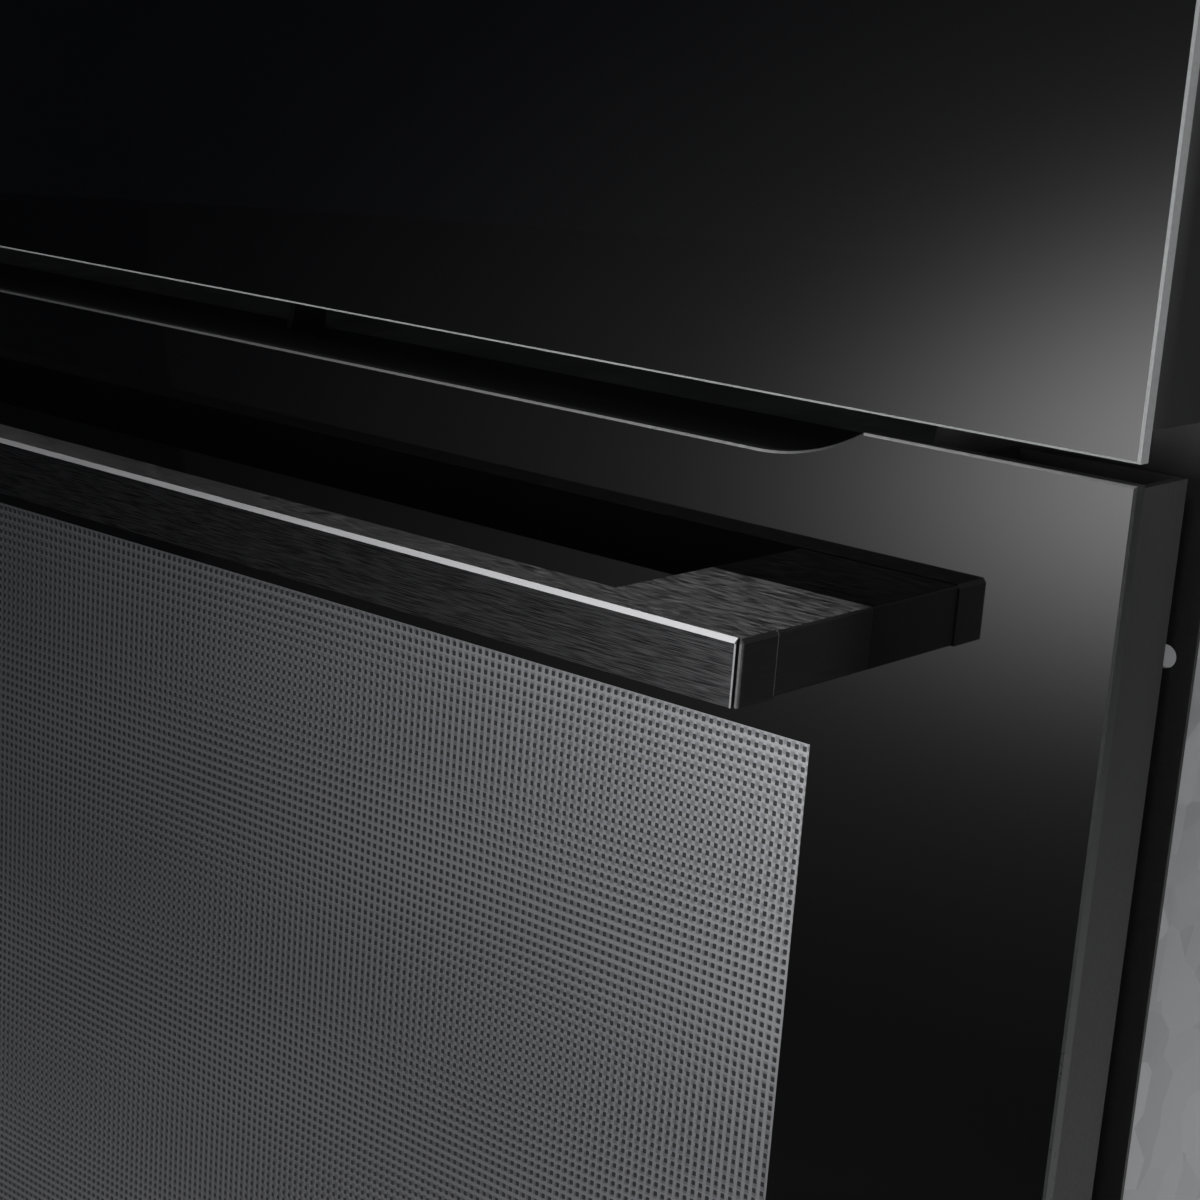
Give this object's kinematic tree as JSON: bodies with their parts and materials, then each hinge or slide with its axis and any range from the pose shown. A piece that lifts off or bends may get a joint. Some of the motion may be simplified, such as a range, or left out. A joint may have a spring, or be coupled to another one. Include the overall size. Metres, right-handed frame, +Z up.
{
  "type": "built-in oven",
  "caption": "Built-in electric oven with a drop-down black glass door, dotted window, steel bar handle, cooling-air slot under a glass fascia, and a fan-heated cavity.",
  "frame": {"origin": "centre of the footprint at the level of the base", "axes": "+Z up, the door and handle face -Y, +X to the right of someone who stands before the door"},
  "size_m": [0.594, 0.613, 0.5941],
  "materials": {
    "black_glass": "polished black-backed float glass",
    "window_print": "ceramic dot print on the back of the glass",
    "clear_glass": "polished clear float glass",
    "brushed_steel": "dark stainless, brushed along its length",
    "zinc_steel": "zinc plated",
    "spring_steel": "oiled spring wire",
    "black_steel": "black powder coat",
    "galvanised_sheet": "galvanised sheet",
    "black_plastic": "fine grained, matt",
    "white_plastic": "moulded, satin",
    "gasket_rubber": "heat proof silicone",
    "dark_enamel": "speckled grey-black enamel",
    "glass_wool": "glass wool mat",
    "heater_tube": "dull heat-stained alloy tube",
    "ceramic": "glazed ceramic and sheet",
    "chrome_wire": "bright chromed wire",
    "motor_steel": "coated steel laminations",
    "wheel_aluminium": "rolled sheet",
    "circuit_board": "green board with dark parts"
  },
  "bodies": {
    "carcass": {"fascia_glass": "black_glass", "lamp_glass": "clear_glass", "chassis_screws": "zinc_steel", "mouth_gasket": "gasket_rubber", "hinge_arm_left": "zinc_steel", "hinge_arm_right": "zinc_steel", "hinge_receiver_left": "zinc_steel", "hinge_receiver_right": "zinc_steel", "front_frame": "black_steel", "lower_rail": "black_steel", "side_panel_left": "galvanised_sheet", "side_panel_right": "galvanised_sheet", "top_cover": "galvanised_sheet", "rear_panel": "galvanised_sheet", "base_tray": "galvanised_sheet", "cavity": "dark_enamel", "back_baffle": "dark_enamel", "baking_tray": "dark_enamel", "insulation": "glass_wool", "ring_element": "heater_tube", "grill_element": "heater_tube", "bottom_element": "heater_tube", "lamp_holder": "ceramic", "temperature_probe": "chrome_wire", "fan_motor": "motor_steel", "shelf_rail_left": "chrome_wire", "shelf_rail_right": "chrome_wire", "wire_shelf": "chrome_wire", "air_channel": "galvanised_sheet", "vent_grille": "black_plastic", "blower_housing": "galvanised_sheet", "blower_motor": "motor_steel", "fascia_carrier": "black_plastic", "display_module": "black_plastic", "control_board": "circuit_board", "power_board": "circuit_board", "terminal_block": "white_plastic"},
    "door": {"door_glass_outer": "black_glass", "window_screen": "window_print", "door_glass_middle": "clear_glass", "door_glass_inner": "clear_glass", "door_profile_left": "black_steel", "door_profile_right": "black_steel", "door_top_trim": "black_plastic", "door_bottom_trim": "black_steel", "glass_pads": "gasket_rubber", "handle_bar": "brushed_steel", "handle_post_left": "brushed_steel", "handle_post_right": "brushed_steel", "handle_screws": "zinc_steel", "hinge_channel_left": "zinc_steel", "hinge_channel_right": "zinc_steel", "hinge_pins": "zinc_steel", "hinge_spring_left": "spring_steel", "hinge_spring_right": "spring_steel"},
    "hinge_rod_left": {"hinge_rod_left": "zinc_steel"},
    "hinge_rod_right": {"hinge_rod_right": "zinc_steel"},
    "convection_fan": {"convection_fan": "zinc_steel", "fan_shaft": "zinc_steel"},
    "blower_wheel": {"blower_wheel": "wheel_aluminium"}
  },
  "joints": [
    {"name": "door_hinge", "type": "hinge", "parent": "carcass", "child": "door", "pos_m": [0, -0.2395, 0.024], "axis": [1, 0, 0], "range_deg": [0, 90], "stiffness_Nm_per_rad": 10, "springref_deg": -20.05},
    {"name": "rod_slide_left", "type": "slide", "parent": "door", "child": "hinge_rod_left", "axis": [0, 0, 1], "range_m": [0, 0.00786], "deforming": ["hinge_spring_left"]},
    {"name": "rod_slide_right", "type": "slide", "parent": "door", "child": "hinge_rod_right", "axis": [0, 0, 1], "range_m": [0, 0.00786], "deforming": ["hinge_spring_right"]},
    {"name": "convection_fan_spin", "type": "hinge", "parent": "carcass", "child": "convection_fan", "pos_m": [0, 0.18, 0.2645], "axis": [0, 1, 0], "continuous": true},
    {"name": "cooling_fan_spin", "type": "hinge", "parent": "carcass", "child": "blower_wheel", "pos_m": [0, 0.0907, 0.502], "axis": [1, 0, 0], "continuous": true}
  ],
  "couplings": [
    {"joint": "rod_slide_left", "follows": "door_hinge", "m_per_rad": 0.005},
    {"joint": "rod_slide_right", "follows": "door_hinge", "m_per_rad": 0.005}
  ]
}
